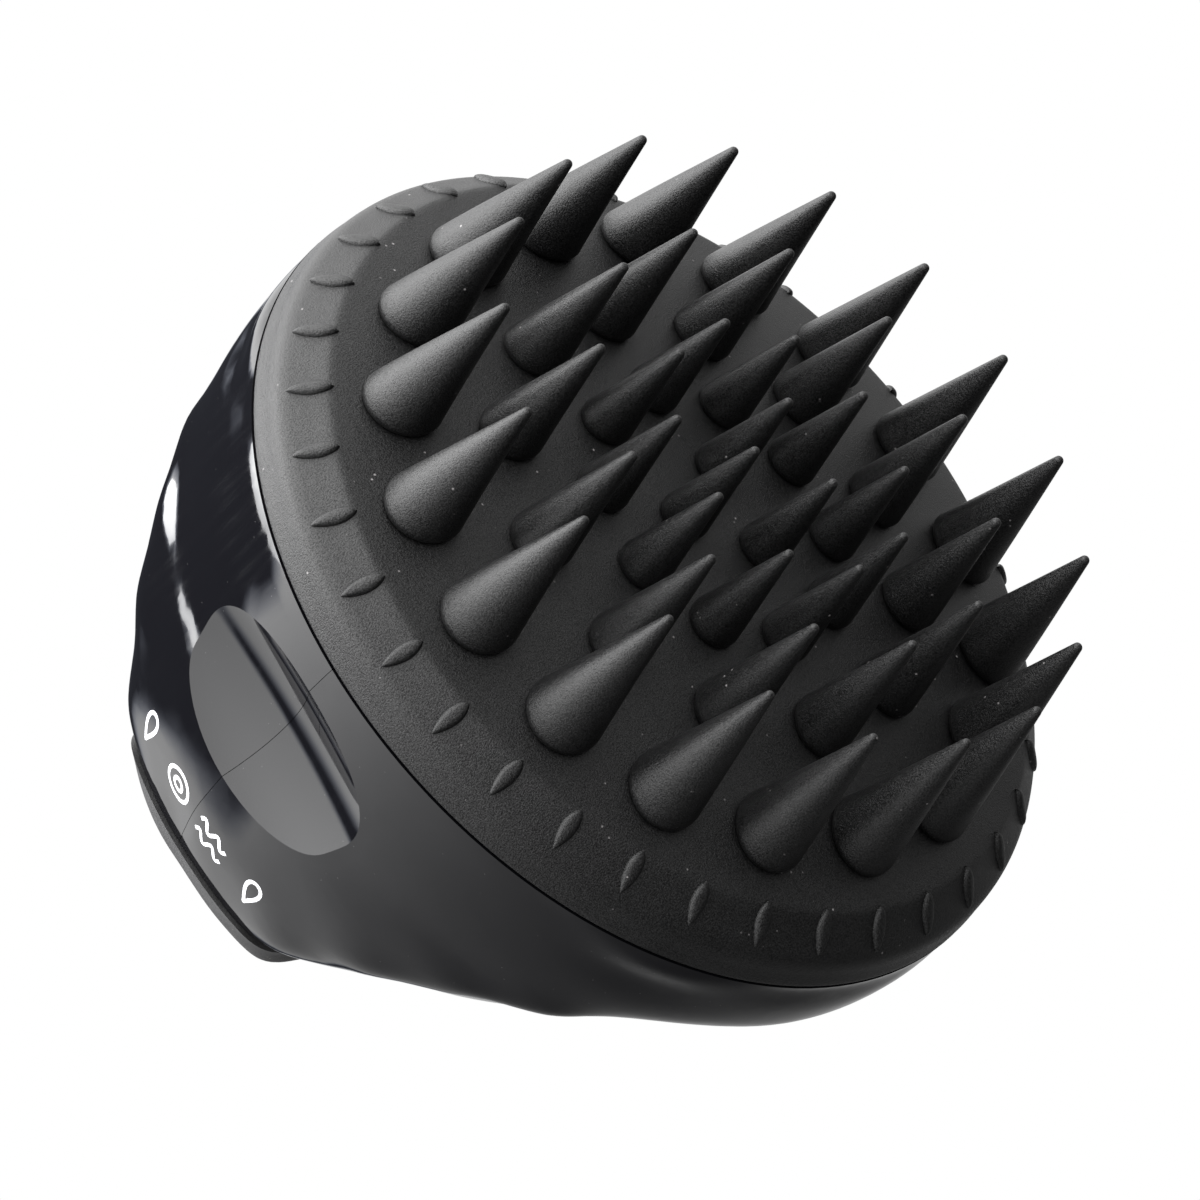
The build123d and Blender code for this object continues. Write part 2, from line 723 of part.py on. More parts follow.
with BuildPart() as board_screws:
    with BuildSketch(Plane.XY.offset(board_z - 0.05)):
        with GridLocations(2 * board_post_x, 2 * board_post_y, 2, 2):
            Circle(1.6)
    extrude(amount=-1.0)
    with BuildSketch(Plane.XY.offset(board_z - 0.05)):
        with GridLocations(2 * board_post_x, 2 * board_post_y, 2, 2):
            Circle(screw_shank)
    extrude(amount=4.8)
    with BuildSketch(Plane.XY.offset(board_z - 1.05)):
        with GridLocations(2 * board_post_x, 2 * board_post_y, 2, 2):
            Rectangle(1.8, 0.35)
            Rectangle(0.35, 1.8)
    extrude(amount=0.4, mode=Mode.SUBTRACT)
write(board_screws.part, "board_screws")

with BuildPart() as tact_switch:
    with BuildSketch(Plane.XY.offset(board_top + 0.02)):
        RectangleRounded(6.0, 6.0, 0.4)
    extrude(amount=switch_height)
    with BuildSketch(Plane.XY.offset(switch_top + 0.02)):
        Circle(1.8)
    extrude(amount=-1.8, mode=Mode.SUBTRACT)
write(tact_switch.part, "tact_switch")

with BuildPart() as switch_plunger:
    with BuildSketch(Plane.XY.offset(switch_top - 1.1)):
        Circle(1.7)
    extrude(amount=plunger_top_z - switch_top + 1.1)
    chamfer(switch_plunger.edges().group_by(Axis.Z)[-1], 0.2)
write(switch_plunger.part, "switch_plunger")

with BuildPart() as power_button:
    with BuildSketch(Plane.XY.offset(flange_z)):
        Circle(flange_radius)
    extrude(amount=flange_top_z - flange_z)
    with BuildSketch(Plane.XY.offset(flange_z)):
        Circle(button_radius)
    extrude(amount=button_top_z - flange_z)
    fillet(power_button.edges().group_by(Axis.Z)[-1], 0.7)
    with BuildSketch(Plane.XY.offset(plunger_top_z + 0.05)):
        Circle(2.0)
    extrude(amount=flange_z - plunger_top_z)
    with BuildSketch(Plane.XZ):
        with BuildLine():
            ThreePointArc((0, button_top_z - 0.35), (2.4, button_top_z - 0.26), (4.6, button_top_z))
            Polyline((4.6, button_top_z), (4.6, button_top_z + 1), (0, button_top_z + 1), (0, button_top_z - 0.35))
        make_face()
    revolve(axis=Axis.Z, mode=Mode.SUBTRACT)
write(power_button.part, "power_button")

with BuildPart() as button_seal:
    with BuildSketch(Plane.XZ):
        with Locations((button_seal_radius, button_seal_z)):
            Circle(button_seal_section)
    revolve(axis=Axis.Z)
write(button_seal.part, "button_seal")

# ---- leads -------------------------------------------------------------------------------
lead_start_x = -plate_face - 0.9
terminal_x = motor_back_x - 2.6
leads = {
    "wire_red": [
        (lead_start_x, wire_y, wire_z),
        (wire_slot_x, wire_y, deck_z + 0.6),
        (wire_slot_x, wire_y, deck_top + 4.0),
        (-22.0, 5.5, 57.0),
        (-12.3, 4.2, board_z - 0.8),
    ],
    "wire_black": [
        (lead_start_x, -wire_y, wire_z),
        (wire_slot_x, -wire_y, deck_z + 0.6),
        (wire_slot_x, -wire_y, deck_top + 4.0),
        (-21.5, -5.6, 51.5),
        (terminal_x, -terminal_y, motor_z),
    ],
    "wire_motor": [
        (terminal_x, terminal_y - 1.0, motor_z),
        (-18.5, 2.5, 57.0),
        (-12.3, 0.0, board_z - 0.8),
    ],
}
for name, route in leads.items():
    with BuildPart() as lead:
        with BuildLine():
            run = Spline(*route)
        with BuildSketch(Plane(run @ 0, z_dir=run % 0)):
            Circle(0.55)
        sweep(path=run)
    write(lead.part, name)
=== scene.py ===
import bpy
import json
import math
from mathutils import Matrix, Vector
from mathutils.bvhtree import BVHTree


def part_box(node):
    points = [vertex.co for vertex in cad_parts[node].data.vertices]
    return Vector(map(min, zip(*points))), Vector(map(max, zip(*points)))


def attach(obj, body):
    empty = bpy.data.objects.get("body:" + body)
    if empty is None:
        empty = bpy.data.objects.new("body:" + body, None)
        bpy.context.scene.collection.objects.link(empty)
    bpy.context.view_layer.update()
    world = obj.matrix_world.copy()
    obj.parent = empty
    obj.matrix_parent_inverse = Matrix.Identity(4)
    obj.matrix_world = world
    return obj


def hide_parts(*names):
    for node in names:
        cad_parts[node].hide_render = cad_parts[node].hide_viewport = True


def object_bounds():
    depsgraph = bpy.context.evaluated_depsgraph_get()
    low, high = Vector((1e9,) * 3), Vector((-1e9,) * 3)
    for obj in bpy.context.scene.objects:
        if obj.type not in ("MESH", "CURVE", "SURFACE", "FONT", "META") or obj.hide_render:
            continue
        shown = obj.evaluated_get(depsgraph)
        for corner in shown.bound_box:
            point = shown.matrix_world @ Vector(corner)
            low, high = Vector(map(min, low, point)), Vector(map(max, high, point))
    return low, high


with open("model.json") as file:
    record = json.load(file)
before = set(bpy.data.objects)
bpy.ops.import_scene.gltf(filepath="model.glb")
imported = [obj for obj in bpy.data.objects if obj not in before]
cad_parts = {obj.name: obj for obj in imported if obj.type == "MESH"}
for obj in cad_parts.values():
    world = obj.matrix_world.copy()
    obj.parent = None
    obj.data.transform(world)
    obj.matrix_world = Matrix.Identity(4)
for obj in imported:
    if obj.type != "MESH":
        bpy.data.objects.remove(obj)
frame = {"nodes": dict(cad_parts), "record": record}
cad_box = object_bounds()

MM = 0.001

# ---- sizes, in millimetres unless the frame gives them ---------------------------------
_, pad_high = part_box("bristle_pad")
rim_radius = pad_high.x / MM
joint_z = pad_high.z / MM

field_z = 13.58            # lowest point of the domed field
field_sphere = 169.0       # radius of that dome
field_edge = 40.2
band_middle = Vector((42.6, 20.0))   # sloping band with the ribs: radius and height
band_out = Vector((1.0, 1.0)).normalized()
band_down = Vector((1.0, -1.0)).normalized()
pad_thickness = 2.0
skirt_thickness = 2.2
lip_radius = 40.5
lip_z = 23.95
back_edge = 39.8
back_corner_z = 23.2
bristle_rings = [          # name, count, ring radius, tip height, base radius, first angle, lean
    ("outer", 18, 34.0, 0.0, 3.95, -4.04, 0.45),
    ("second", 12, 23.2, 0.0, 3.25, 6.27, 0.2),
    ("third", 10, 13.9, 1.5, 2.7, -12.64, 0.1),
    ("inner", 3, 5.3, 1.5, 2.6, 4.69, 0.0),
]
nib_radius = 0.5
rib_count = 36
rib_length = 4.5
rib_width = 1.65
rib_height = 0.5
rib_first_angle = -3.5
symbol_radius = 42.0       # shell radius the symbols are laid out on
symbol_z = 52.6
symbol_pitch = 6.2
symbol_size = 2.0
ink_width = 0.42
ink_lift = 0.035
ink_depth = 0.06
root_round = 0.8           # how far the bristle's root is rounded
rib_sunk = 0.35            # how far a rib goes into the pad
pad_steps = 432
bristle_steps = 56
outline_steps = 40         # points round a closed symbol
ray_start = 80.0           # safely outside the shells
floor_half = 1.5           # metres
floor_gap = 0.0002         # metres


# ---- mesh helpers ----------------------------------------------------------------------
def make_piece(name, verts, faces, body, smooth=True):
    mesh = bpy.data.meshes.new(name)
    mesh.from_pydata([Vector(v) * MM for v in verts], [], faces)
    mesh.validate()
    mesh.update()
    for polygon in mesh.polygons:
        polygon.use_smooth = smooth
    piece = bpy.data.objects.new(name, mesh)
    bpy.context.scene.collection.objects.link(piece)
    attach(piece, body)
    return piece


def spin(profile, steps, verts, faces, turn=0.0):
    """Adds a solid of revolution about Z: profile is (radius, z), its ends on the axis or joined."""
    rings = []
    for radius, z in profile:
        if radius < 1e-6:
            rings.append([len(verts)])
            verts.append((0.0, 0.0, z))
            continue
        ring = []
        for i in range(steps):
            angle = turn + 2 * math.pi * i / steps
            ring.append(len(verts))
            verts.append((radius * math.cos(angle), radius * math.sin(angle), z))
        rings.append(ring)
    pairs = list(zip(rings, rings[1:]))
    if len(rings[0]) > 1:
        pairs.append((rings[-1], rings[0]))
    for a, b in pairs:
        for i in range(steps):
            j = (i + 1) % steps
            if len(a) == 1:
                faces.append((a[0], b[j], b[i]))
            elif len(b) == 1:
                faces.append((a[i], a[j], b[0]))
            else:
                faces.append((a[i], a[j], b[j], b[i]))


def curve_through(points, steps):
    """Points on a Catmull-Rom curve through the given ones."""
    ends = [points[0]] + list(points) + [points[-1]]
    out = []
    for k in range(1, len(ends) - 2):
        p0, p1, p2, p3 = (Vector((*p, 0)) for p in ends[k - 1:k + 3])
        for s in range(steps):
            t = s / steps
            a = 2 * p1 + (p2 - p0) * t
            b = (2 * p0 - 5 * p1 + 4 * p2 - p3) * t * t
            c = (3 * p1 - p0 - 3 * p2 + p3) * t ** 3
            q = (a + b + c) / 2
            out.append((q.x, q.y))
    out.append(tuple(points[-1]))
    return out


def field_height(radius, lift=0.0):
    size = field_sphere - lift
    return field_z + field_sphere - math.sqrt(size ** 2 - radius ** 2)


# ---- silicone pad ----------------------------------------------------------------------
def shoulder_profile():
    """Outside of the pad from the edge of the field to the joint with the handle."""
    return curve_through([
        (field_edge, field_height(field_edge)),
        (41.05, 18.68),
        (41.6, 19.03),
        (42.6, 20.0),
        (43.6, 20.98),
        (44.2, 21.62),
        (44.62, 22.3),
        (44.84, 23.1),
        (44.98, 24.2),
        (rim_radius - 0.04, joint_z - 0.5),
        (rim_radius - 0.1, joint_z - 0.16),
        (rim_radius - 0.4, joint_z),
    ], 6)


def pad_body():
    radii = [field_edge * i / 40 for i in range(40)]
    outside = [(radius, field_height(radius)) for radius in radii]
    outside += shoulder_profile()
    inside = [
        (lip_radius + 0.3, joint_z),
        (lip_radius, joint_z - 0.3),
        (lip_radius, lip_z),
        (rim_radius - skirt_thickness, lip_z),
        (rim_radius - skirt_thickness, back_corner_z),
    ]
    radii = [back_edge * i / 20 for i in range(20, -1, -1)]
    inside += [(radius, field_height(radius, pad_thickness)) for radius in radii]
    verts, faces = [], []
    spin(outside + inside, pad_steps, verts, faces)
    return make_piece("pad_body", verts, faces, "head")


def bristle_profile(tip_z, root_z, base):
    """Long cone with a small nib; the root rounds in where it meets the field."""
    points = []
    nib_centre = tip_z + nib_radius
    for i in range(7):
        angle = math.radians(-90 + 80 * i / 6)
        points.append((nib_radius * math.cos(angle), nib_centre + nib_radius * math.sin(angle)))
    points[0] = (0.0, tip_z)
    top_r, top_z = points[-1]
    round_start = root_z - root_round
    for i in range(1, 17):
        t = i / 16
        points.append((top_r + (base - top_r) * t, top_z + (round_start - top_z) * t))
    for i in range(1, 8):
        angle = math.radians(90 * i / 7)
        inward = 0.8 * root_round * (1 - math.cos(angle)) - 0.1 * math.sin(angle)
        points.append((base - inward, round_start + 1.15 * root_round * math.sin(angle)))
    points.append((base * 0.5, root_z + 0.75))
    points.append((0.0, root_z + 0.8))
    return points


def bristle_ring(name, count, ring, tip_z, base, first, lean):
    """Bristles lean out by lean at the root, and the root follows the slope of the field."""
    verts, faces = [], []
    root_z = field_height(ring)
    slope = ring / math.sqrt(field_sphere ** 2 - ring ** 2)
    profile = bristle_profile(tip_z, root_z, base)
    for i in range(count):
        angle = math.radians(first + 360.0 * i / count)
        start = len(verts)
        spin(profile, bristle_steps, verts, faces, turn=angle)
        for k in range(start, len(verts)):
            x, y, z = verts[k]
            share = min(max((z - tip_z) / (root_z - tip_z), 0.0), 1.0)
            out = x * math.cos(angle) + y * math.sin(angle)
            centre = ring + lean * share
            lift = slope * out * share ** 3
            verts[k] = (x + centre * math.cos(angle), y + centre * math.sin(angle), z + lift)
    return make_piece("bristles_" + name, verts, faces, "head")


def rib_ring():
    """Raised leaves on the sloping band: pointed at the rim, rounder towards the field."""
    along, across = 30, 14
    verts, faces = [], []
    for k in range(rib_count):
        angle = math.radians(rib_first_angle + 360.0 * k / rib_count)
        radial = Vector((math.cos(angle), math.sin(angle), 0))
        side = Vector((-math.sin(angle), math.cos(angle), 0))
        start = len(verts)
        row = across + 1
        for layer in (1, 0):
            for i in range(along + 1):
                u = -1 + 2 * i / along
                half = rib_width / 2 * (1 - u * u) ** 0.75 * (1 - 0.22 * u) + 0.01
                ridge = rib_height * max(1 - abs(u) ** 3.5, 0.0) ** 0.6
                for j in range(across + 1):
                    v = math.sin(math.pi / 2 * (-1 + 2 * j / across))
                    lift = ridge * max(1 - abs(v) ** 3.0, 0.0) ** 0.7 if layer else -rib_sunk
                    if layer and j in (0, across):
                        lift = -0.05
                    at = band_middle + band_out * (u * rib_length / 2) + band_down * lift
                    p = radial * at.x + side * (half * v)
                    verts.append((p.x, p.y, at.y))
        shift = (along + 1) * row
        for i in range(along):
            for j in range(across):
                a = start + i * row + j
                faces.append((a, a + 1, a + row + 1, a + row))
                b = a + shift
                faces.append((b, b + row, b + row + 1, b + 1))
            for j, flip in ((0, False), (across, True)):
                a = start + i * row + j
                quad = (a, a + row, a + row + shift, a + shift)
                faces.append(quad[::-1] if flip else quad)
        for i, flip in ((0, True), (along, False)):
            for j in range(across):
                a = start + i * row + j
                quad = (a, a + 1, a + 1 + shift, a + shift)
                faces.append(quad if flip else quad[::-1])
    return make_piece("rim_ribs", verts, faces, "head")


pad_pieces = [pad_body(), rib_ring()] + [bristle_ring(*ring) for ring in bristle_rings]
for piece in pad_pieces:
    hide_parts("bristle_pad")


# ---- printed care symbols on the handle --------------------------------------------------
def shell_tree():
    """Search tree over both shells, in millimetres."""
    verts, faces = [], []
    for name in ("housing_front", "housing_rear"):
        mesh = frame["nodes"][name].data
        first = len(verts)
        verts += [v.co / MM for v in mesh.vertices]
        faces += [[first + k for k in polygon.vertices] for polygon in mesh.polygons]
    return BVHTree.FromPolygons(verts, faces)


def on_shell(tree, across, height):
    """Point and outward normal of the shell, found from outside towards the axis."""
    angle = across / symbol_radius
    ray = Vector((math.cos(angle), math.sin(angle), 0))
    spot, normal, _, _ = tree.ray_cast(ray * ray_start + Vector((0, 0, height)), -ray)
    if normal.dot(ray) < 0:
        normal = -normal
    return spot, normal


def stroke(tree, path, width, closed, verts, faces):
    """Thin printed line laid on the shell along a path of (across, height) points."""
    count = len(path)
    first = len(verts)
    for i, point in enumerate(path):
        before = path[(i - 1) % count] if closed or i else point
        after = path[(i + 1) % count] if closed or i < count - 1 else point
        heading = (after - before).normalized()
        aside = Vector((-heading.y, heading.x)) * width / 2
        for edge, lift in ((1, ink_lift), (-1, ink_lift), (-1, -ink_depth), (1, -ink_depth)):
            spot, normal = on_shell(tree, *(point + aside * edge))
            verts.append(spot + normal * lift)
    last = count if closed else count - 1
    for i in range(last):
        a = first + 4 * i
        b = first + 4 * ((i + 1) % count)
        for j in range(4):
            k = (j + 1) % 4
            faces.append((a + j, b + j, b + k, a + k))
    if not closed:
        faces.append((first, first + 1, first + 2, first + 3))
        end = first + 4 * (count - 1)
        faces.append((end + 3, end + 2, end + 1, end))


def drop_outline(middle, size):
    points = []
    for i in range(outline_steps):
        turn = 2 * math.pi * i / outline_steps
        pinch = math.sin(turn / 2) ** 1.6
        points.append(middle + Vector((0.62 * size * math.sin(turn) * pinch, size * math.cos(turn))))
    return points


def ring_outline(middle, size):
    steps = [2 * math.pi * i / outline_steps for i in range(outline_steps)]
    return [middle + size * Vector((math.cos(turn), math.sin(turn))) for turn in steps]


def wave_line(middle, size):
    steps = [-1 + i / 14 for i in range(29)]
    return [middle + Vector((size * u, 0.3 * size * math.sin(2 * math.pi * u))) for u in steps]


def care_symbols():
    tree = shell_tree()
    verts, faces = [], []
    for slot, kind in enumerate(("drop", "wave", "ring", "drop")):
        middle = Vector(((slot - 1.5) * symbol_pitch, symbol_z))
        if kind == "drop":
            stroke(tree, drop_outline(middle, symbol_size), ink_width, True, verts, faces)
        elif kind == "ring":
            stroke(tree, ring_outline(middle, symbol_size * 0.9), ink_width, True, verts, faces)
            stroke(tree, ring_outline(middle, symbol_size * 0.35), ink_width, True, verts, faces)
        else:
            for shift in (-0.5, 0.5):
                line = wave_line(middle + Vector((0, shift * symbol_size)), symbol_size)
                stroke(tree, line, ink_width, False, verts, faces)
    return make_piece("care_symbols", verts, faces, "handle", smooth=False)


symbols = care_symbols()


# ---- materials -------------------------------------------------------------------------
class Paint:
    """Small helper for building one node material."""

    def __init__(self, name):
        self.material = bpy.data.materials.new(name)
        self.material.use_nodes = True
        self.nodes = self.material.node_tree.nodes
        self.links = self.material.node_tree.links
        self.shader = self.nodes["Principled BSDF"]
        self.place = self.nodes.new("ShaderNodeTexCoord").outputs["Object"]

    def set(self, **values):
        for key, value in values.items():
            name = key.replace("_", " ")
            self.shader.inputs[name].default_value = value

    def join(self, output, name):
        self.links.new(output, self.shader.inputs[name])

    def noise(self, scale, detail=3.0, roughness=0.55, stretch=None):
        node = self.nodes.new("ShaderNodeTexNoise")
        node.inputs["Scale"].default_value = scale
        node.inputs["Detail"].default_value = detail
        node.inputs["Roughness"].default_value = roughness
        if stretch:
            mapping = self.nodes.new("ShaderNodeMapping")
            mapping.inputs["Scale"].default_value = stretch
            self.links.new(self.place, mapping.inputs["Vector"])
            self.links.new(mapping.outputs["Vector"], node.inputs["Vector"])
        else:
            self.links.new(self.place, node.inputs["Vector"])
        return node.outputs["Fac"]

    def cells(self, scale, randomness=1.0):
        node = self.nodes.new("ShaderNodeTexVoronoi")
        node.inputs["Scale"].default_value = scale
        node.inputs["Randomness"].default_value = randomness
        self.links.new(self.place, node.inputs["Vector"])
        return node

    def ramp(self, value, stops):
        node = self.nodes.new("ShaderNodeValToRGB")
        node.color_ramp.elements[0].position = stops[0][0]
        node.color_ramp.elements[0].color = (*stops[0][1], 1)
        node.color_ramp.elements[1].position = stops[-1][0]
        node.color_ramp.elements[1].color = (*stops[-1][1], 1)
        for position, color in stops[1:-1]:
            node.color_ramp.elements.new(position).color = (*color, 1)
        self.links.new(value, node.inputs["Fac"])
        return node.outputs["Color"]

    def spread(self, value, low, high, in_low=0.0, in_high=1.0):
        node = self.nodes.new("ShaderNodeMapRange")
        node.inputs["From Min"].default_value = in_low
        node.inputs["From Max"].default_value = in_high
        node.inputs["To Min"].default_value = low
        node.inputs["To Max"].default_value = high
        self.links.new(value, node.inputs["Value"])
        return node.outputs["Result"]

    def mix(self, factor, a, b):
        node = self.nodes.new("ShaderNodeMix")
        node.data_type = "RGBA"
        self.links.new(factor, node.inputs["Factor"])
        for socket, value in ((node.inputs[6], a), (node.inputs[7], b)):
            if isinstance(value, tuple):
                socket.default_value = (*value, 1)
            else:
                self.links.new(value, socket)
        return node.outputs[2]

    def bump(self, height, distance, strength=1.0, under=None):
        node = self.nodes.new("ShaderNodeBump")
        node.inputs["Distance"].default_value = distance * MM
        node.inputs["Strength"].default_value = strength
        self.links.new(height, node.inputs["Height"])
        if under is not None:
            self.links.new(under, node.inputs["Normal"])
        self.join(node.outputs["Normal"], "Normal")
        return node.outputs["Normal"]


def silicone(name, dark, pale, dust, rough=0.5, glint=0.6):
    """Matte moulded silicone: fine sparkling grain, soft blotches and a little dust."""
    paint = Paint(name)
    grain = paint.noise(6500, 2.0, 0.65)
    blotch = paint.noise(130, 4.0, 0.6)
    base = paint.mix(paint.spread(blotch, 0.0, 1.0, 0.3, 0.7), dark, pale)
    specks = paint.cells(900)
    near = paint.spread(specks.outputs["Distance"], 1.0, 0.0, 0.06, 0.14)
    rare = paint.spread(paint.noise(420, 2.0, 0.5), 0.0, 1.0, 0.60, 0.66)
    both = paint.nodes.new("ShaderNodeMath")
    both.operation = "MULTIPLY"
    both.use_clamp = True
    paint.links.new(near, both.inputs[0])
    paint.links.new(rare, both.inputs[1])
    paint.join(paint.mix(both.outputs["Value"], base, dust), "Base Color")
    paint.join(paint.spread(grain, rough - 0.14, rough + 0.14, 0.35, 0.65), "Roughness")
    paint.join(paint.spread(grain, 0.2, glint * 1.5, 0.35, 0.7), "Specular IOR Level")
    coarse = paint.bump(paint.noise(1800, 3.0, 0.6), 0.04, 0.6)
    paint.bump(grain, 0.06, 1.0, coarse)
    return paint.material


def gloss_plastic(name, color, dust):
    """Polished black ABS with faint moulding ripple, wipe marks and dust."""
    paint = Paint(name)
    wipe = paint.noise(900, 3.0, 0.6, (1.0, 1.0, 0.08))
    specks = paint.cells(700)
    near = paint.spread(specks.outputs["Distance"], 1.0, 0.0, 0.02, 0.05)
    paint.join(paint.mix(near, color, dust), "Base Color")
    paint.join(paint.spread(wipe, 0.035, 0.11, 0.35, 0.75), "Roughness")
    paint.set(Specular_IOR_Level=0.5)
    paint.bump(paint.noise(60, 2.0, 0.5), 0.02, 0.35)
    return paint.material


def moulded(name, color, rough=0.5, grain=1400, depth=0.03):
    paint = Paint(name)
    tone = tuple(min(1.0, c * 1.35 + 0.004) for c in color)
    paint.join(paint.mix(paint.noise(300, 3.0, 0.6), color, tone), "Base Color")
    paint.join(paint.spread(paint.noise(grain, 2.0, 0.6), rough - 0.08, rough + 0.1, 0.3, 0.7), "Roughness")
    paint.bump(paint.noise(grain, 3.0, 0.6), depth, 0.7)
    return paint.material


def metal(name, color, rough=0.28, stretch=(1.0, 1.0, 12.0)):
    paint = Paint(name)
    worn = tuple(c * 0.72 for c in color)
    paint.join(paint.mix(paint.noise(420, 4.0, 0.6, stretch), color, worn), "Base Color")
    paint.join(paint.spread(paint.noise(2600, 2.0, 0.6, stretch), rough - 0.08, rough + 0.14), "Roughness")
    paint.set(Metallic=1.0)
    paint.bump(paint.noise(2600, 2.0, 0.6, stretch), 0.01, 0.4)
    return paint.material


def banded(name, first, second, low, high, axis, rough=0.32):
    """Printed sleeve: one colour below a height along an axis, another above it."""
    paint = Paint(name)
    split = paint.nodes.new("ShaderNodeSeparateXYZ")
    paint.links.new(paint.place, split.inputs["Vector"])
    share = paint.spread(split.outputs[axis], 0.0, 1.0, low * MM, high * MM)
    scuff = paint.noise(700, 3.0, 0.6)
    color = paint.mix(share, first, second)
    pale = tuple(min(1.0, c + 0.08) for c in second)
    paint.join(paint.mix(paint.spread(scuff, 0.0, 0.35, 0.55, 0.8), color, pale), "Base Color")
    paint.join(paint.spread(scuff, rough - 0.06, rough + 0.16), "Roughness")
    paint.bump(scuff, 0.02, 0.4)
    return paint.material


def grey(level, tint=0.0):
    return (level, level, level + tint)


silicone_black = silicone(
    "silicone_black", grey(0.0022, 0.0001), grey(0.0045, 0.0002), (0.22, 0.21, 0.21), 0.42, 0.42)
materials = {
    "silicone_black": silicone_black,
    "soft_touch": silicone("soft_touch", grey(0.030, 0.001), grey(0.055, 0.001), (0.32, 0.31, 0.30), 0.62),
    "soft_touch_button": silicone(
        "soft_touch_button", grey(0.02, 0.001), grey(0.04, 0.001), grey(0.3), 0.55),
    "gloss_black": gloss_plastic("gloss_black", grey(0.0035, 0.001), grey(0.05)),
    "abs_dark": moulded("abs_dark", (0.020, 0.020, 0.022), 0.48),
    "abs_grey": moulded("abs_grey", (0.16, 0.17, 0.18), 0.5),
    "seal_rubber": moulded("seal_rubber", (0.015, 0.015, 0.015), 0.42, 2200, 0.015),
    "steel": metal("steel", (0.56, 0.56, 0.57), 0.3),
    "spring_steel": metal("spring_steel", (0.68, 0.68, 0.69), 0.18, (12.0, 1.0, 1.0)),
    "nickel_plate": metal("nickel_plate", (0.66, 0.64, 0.60), 0.26),
    "motor_can": metal("motor_can", (0.60, 0.60, 0.61), 0.3, (1.0, 9.0, 9.0)),
    "brass": metal("brass", (0.62, 0.46, 0.20), 0.34),
    "cell_jacket": banded("cell_jacket", (0.42, 0.28, 0.12), (0.03, 0.06, 0.12), -9.0, -8.6, "X"),
    "board_green": moulded("board_green", (0.010, 0.11, 0.035), 0.3, 900, 0.012),
    "switch_black": moulded("switch_black", (0.02, 0.02, 0.02), 0.4),
    "switch_plunger": moulded("switch_plunger", (0.55, 0.50, 0.42), 0.4),
    "wire_red": moulded("wire_red", (0.40, 0.012, 0.010), 0.36, 1200, 0.01),
    "wire_black": moulded("wire_black", (0.014, 0.014, 0.014), 0.36, 1200, 0.01),
    "wire_blue": moulded("wire_blue", (0.012, 0.05, 0.30), 0.36, 1200, 0.01),
}
slot_of = {row["node"]: row["material_slot"] for row in frame["record"]["subparts"]}
for name, node in frame["nodes"].items():
    node.data.materials.clear()
    node.data.materials.append(materials[slot_of[name]])
for piece in pad_pieces:
    piece.data.materials.append(silicone_black)
symbols.data.materials.append(moulded("white_ink", (0.70, 0.70, 0.73), 0.45, 2600, 0.006))

# ---- stage, lights and camera ------------------------------------------------------------
def bearing(turn, rise):
    """Unit vector at a turn about +Z from +X and a rise above the floor, in degrees."""
    turn, rise = math.radians(turn), math.radians(rise)
    return Vector((math.cos(turn) * math.cos(rise), math.sin(turn) * math.cos(rise), math.sin(rise)))


room_level = 0.95          # brightness square to the bright side
room_slope = 2.1           # how fast it grows towards the bright side
bright_side = bearing(60, 0)
panel_turn = 98            # black panel that the gloss shells mirror
panel_half = 0.60
panel_low = math.sin(math.radians(36))
panel_high = math.sin(math.radians(64))
panel_level = 0.05


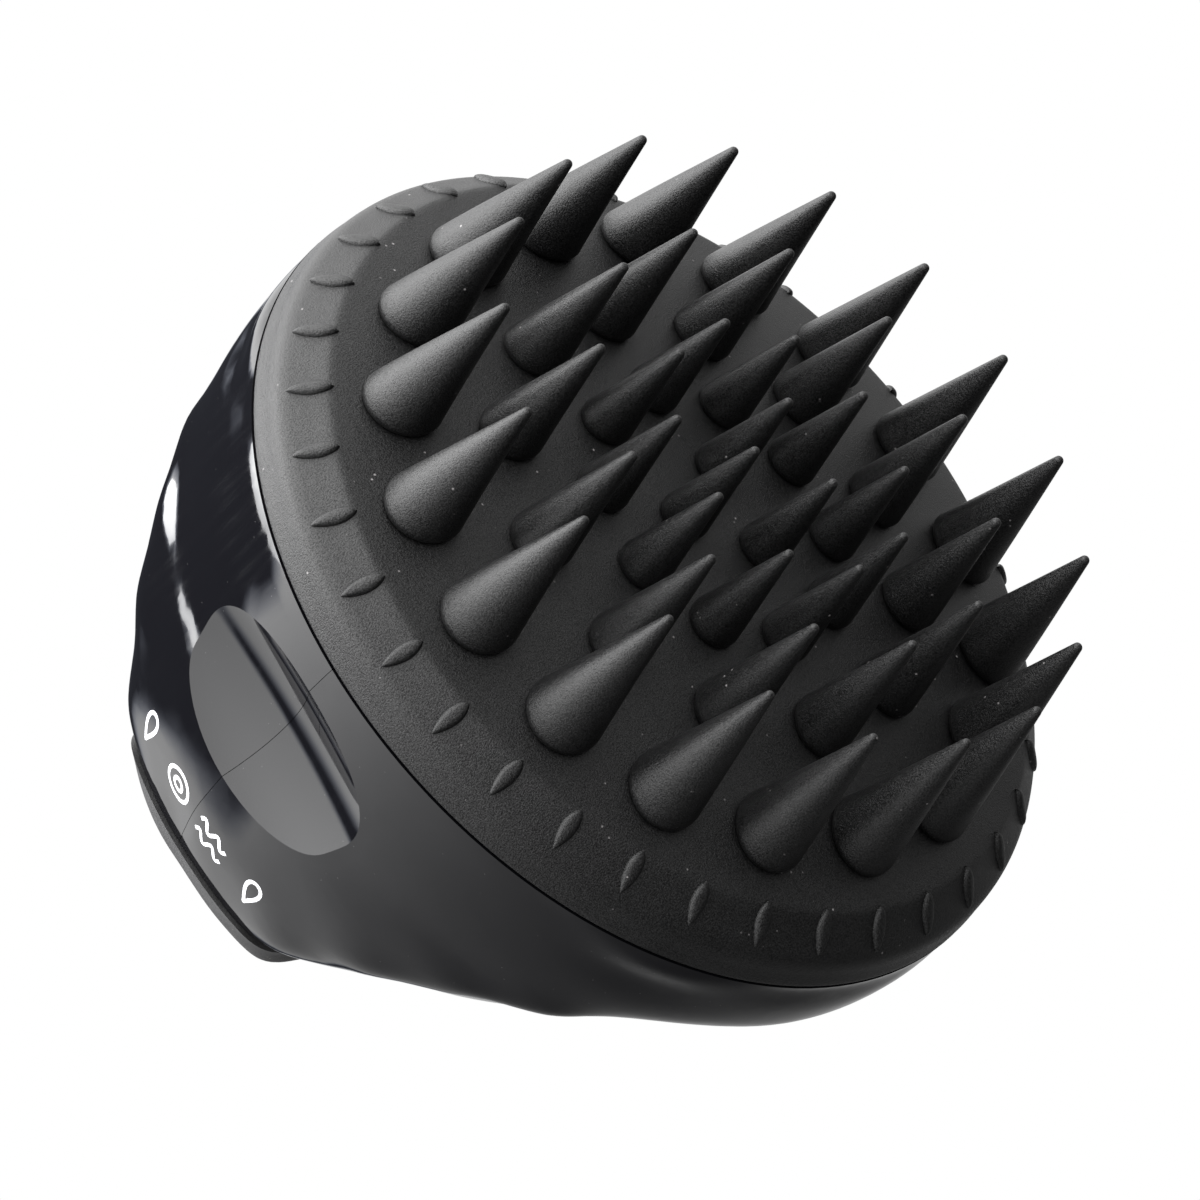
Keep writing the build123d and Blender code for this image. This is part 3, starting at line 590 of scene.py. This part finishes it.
def studio_world():
    """White room that brightens to one side, with a black panel up beside the handle."""
    world = bpy.data.worlds.new("studio")
    bpy.context.scene.world = world
    world.use_nodes = True
    nodes = world.node_tree.nodes
    links = world.node_tree.links
    nodes.clear()
    out = nodes.new("ShaderNodeOutputWorld")
    lamp = nodes.new("ShaderNodeBackground")
    backdrop = nodes.new("ShaderNodeBackground")
    backdrop.inputs["Color"].default_value = (1, 1, 1, 1)
    mix = nodes.new("ShaderNodeMixShader")
    path = nodes.new("ShaderNodeLightPath")
    place = nodes.new("ShaderNodeTexCoord").outputs["Generated"]
    links.new(path.outputs["Is Camera Ray"], mix.inputs["Fac"])
    links.new(lamp.outputs["Background"], mix.inputs[1])
    links.new(backdrop.outputs["Background"], mix.inputs[2])
    links.new(mix.outputs["Shader"], out.inputs["Surface"])

    def along(direction):
        dot = nodes.new("ShaderNodeVectorMath")
        dot.operation = "DOT_PRODUCT"
        dot.inputs[1].default_value = direction
        links.new(place, dot.inputs[0])
        return dot.outputs["Value"]

    def math_node(operation, *values):
        node = nodes.new("ShaderNodeMath")
        node.operation = operation
        for socket, value in zip(node.inputs, values):
            if isinstance(value, (int, float)):
                socket.default_value = value
            else:
                links.new(value, socket)
        return node.outputs["Value"]

    def ease(value, start, end):
        node = nodes.new("ShaderNodeMapRange")
        node.interpolation_type = "SMOOTHSTEP"
        node.inputs["From Min"].default_value = start
        node.inputs["From Max"].default_value = end
        links.new(value, node.inputs["Value"])
        return node.outputs["Result"]

    rise = along(Vector((0, 0, 1)))
    aside = along(bearing(panel_turn - 90, 0))
    ahead = along(bearing(panel_turn, 0))
    edge = 0.045
    inside = ease(rise, panel_low - edge, panel_low + edge)
    for part in (
        ease(rise, panel_high + edge, panel_high - edge),
        ease(aside, -panel_half - edge, -panel_half + edge),
        ease(aside, panel_half + edge, panel_half - edge),
        ease(ahead, 0.0, 0.1),
    ):
        inside = math_node("MULTIPLY", inside, part)
    room = math_node("EXPONENT", math_node("MULTIPLY", along(bright_side), room_slope))
    room = math_node("MULTIPLY", room, room_level)
    shade = math_node("SUBTRACT", 1.0, inside)
    level = math_node("ADD", math_node("MULTIPLY", room, shade), math_node("MULTIPLY", inside, panel_level))
    links.new(level, lamp.inputs["Strength"])
    color = nodes.new("ShaderNodeMix")
    color.data_type = "RGBA"
    color.inputs[6].default_value = (1.0, 1.0, 1.0, 1)
    color.inputs[7].default_value = (0.78, 0.84, 1.0, 1)
    links.new(inside, color.inputs["Factor"])
    links.new(color.outputs[2], lamp.inputs["Color"])


def soft_box(name, place, aim, width, height, power):
    light = bpy.data.lights.new(name, "AREA")
    light.shape = "RECTANGLE"
    light.size = width
    light.size_y = height
    light.energy = power
    lamp = bpy.data.objects.new(name, light)
    lamp.location = place
    lamp.rotation_euler = (Vector(aim) - Vector(place)).to_track_quat("-Z", "Y").to_euler()
    bpy.context.scene.collection.objects.link(lamp)


def floor_material():
    """Pale floor seen from above and clear from below, so a low camera looks through it."""
    material = bpy.data.materials.new("floor")
    material.use_nodes = True
    nodes = material.node_tree.nodes
    links = material.node_tree.links
    shader = nodes["Principled BSDF"]
    shader.inputs["Base Color"].default_value = (0.82, 0.82, 0.81, 1)
    shader.inputs["Roughness"].default_value = 0.7
    clear = nodes.new("ShaderNodeBsdfTransparent")
    side = nodes.new("ShaderNodeNewGeometry")
    mix = nodes.new("ShaderNodeMixShader")
    links.new(side.outputs["Backfacing"], mix.inputs["Fac"])
    links.new(shader.outputs["BSDF"], mix.inputs[1])
    links.new(clear.outputs["BSDF"], mix.inputs[2])
    links.new(mix.outputs["Shader"], nodes["Material Output"].inputs["Surface"])
    return material


def make_floor(level):
    mesh = bpy.data.meshes.new("floor")
    signs = ((-1, -1), (1, -1), (1, 1), (-1, 1))
    corners = [(floor_half * x, floor_half * y, level) for x, y in signs]
    mesh.from_pydata(corners, [], [(0, 1, 2, 3)])
    mesh.materials.append(floor_material())
    floor = bpy.data.objects.new("floor", mesh)
    bpy.context.scene.collection.objects.link(floor)
    floor.visible_shadow = False
    floor.visible_glossy = False
    floor.visible_diffuse = False


scene = bpy.context.scene
scene.view_settings.view_transform = "Standard"
studio_world()
make_floor(cad_box[0].z - floor_gap)
centre = (cad_box[0] + cad_box[1]) / 2
soft_box("strip_light", centre + 0.70 * bearing(62, 27), centre, 0.66, 0.22, 3.2)

camera_data = bpy.data.cameras.new("camera")
camera_data.lens = 218.5
camera_data.sensor_width = 36.0
camera_data.clip_start = 0.01
camera = bpy.data.objects.new("camera", camera_data)
right = Vector((-0.6387, -0.5094, -0.5770))
up = Vector((-0.1823, 0.8286, -0.5296))
back = right.cross(up)
camera.matrix_world = Matrix((
    (right.x, up.x, back.x, 0.5282),
    (right.y, up.y, back.y, -0.1630),
    (right.z, up.z, back.z, -0.4074),
    (0, 0, 0, 1),
))
scene.collection.objects.link(camera)
scene.camera = camera
